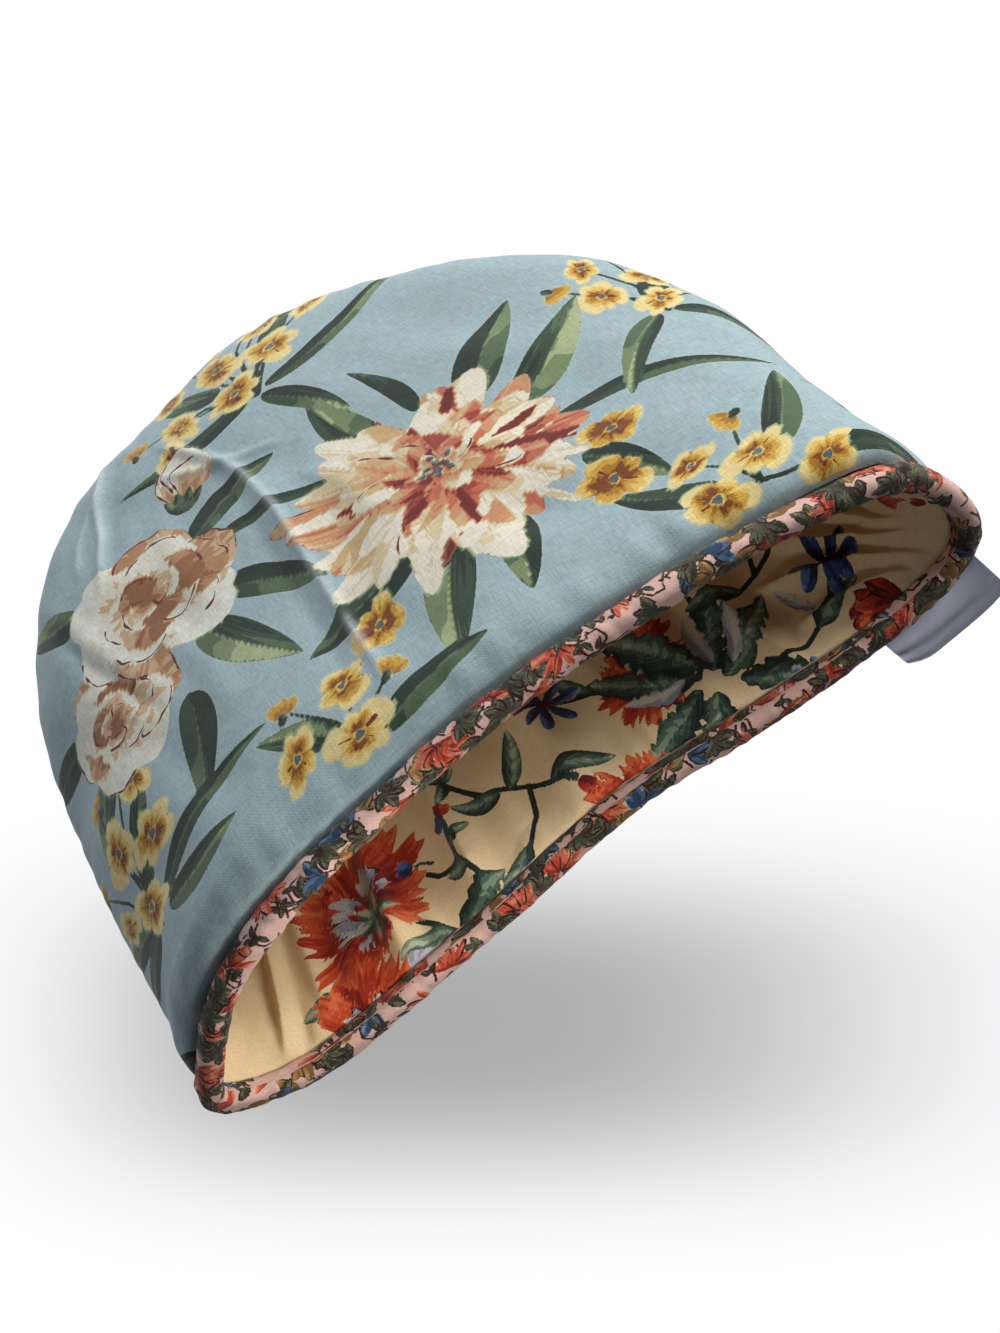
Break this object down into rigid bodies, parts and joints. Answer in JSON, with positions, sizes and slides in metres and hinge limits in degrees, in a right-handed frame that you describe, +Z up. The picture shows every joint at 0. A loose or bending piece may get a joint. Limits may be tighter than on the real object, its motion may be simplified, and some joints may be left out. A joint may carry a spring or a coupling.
{
  "type": "tea cosy",
  "caption": "Padded dome tea cosy of two wadded, lined cotton panels with a rolled bias binding round the open hem and a bare label tab.",
  "frame": {"origin": "on the floor under the middle of the object's box", "axes": "+X along the hem towards the label's end, -Y out of the front panel, +Z up"},
  "size_m": [0.3328, 0.1409, 0.278],
  "materials": {
    "outer_cotton": "plain-weave cotton, pale blue-grey ground with a painterly flower print",
    "lining_cotton": "plain-weave cotton, cream ground with red and blue flower sprays",
    "binding_cotton": "bias-cut cotton, pink ground with small olive leaf sprays",
    "label_satin": "satin ribbon, bare"
  },
  "bodies": {
    "root": {"outer_front": "outer_cotton", "outer_back": "outer_cotton", "lining_front": "lining_cotton", "lining_back": "lining_cotton", "binding": "binding_cotton", "label": "label_satin"}
  },
  "joints": []
}
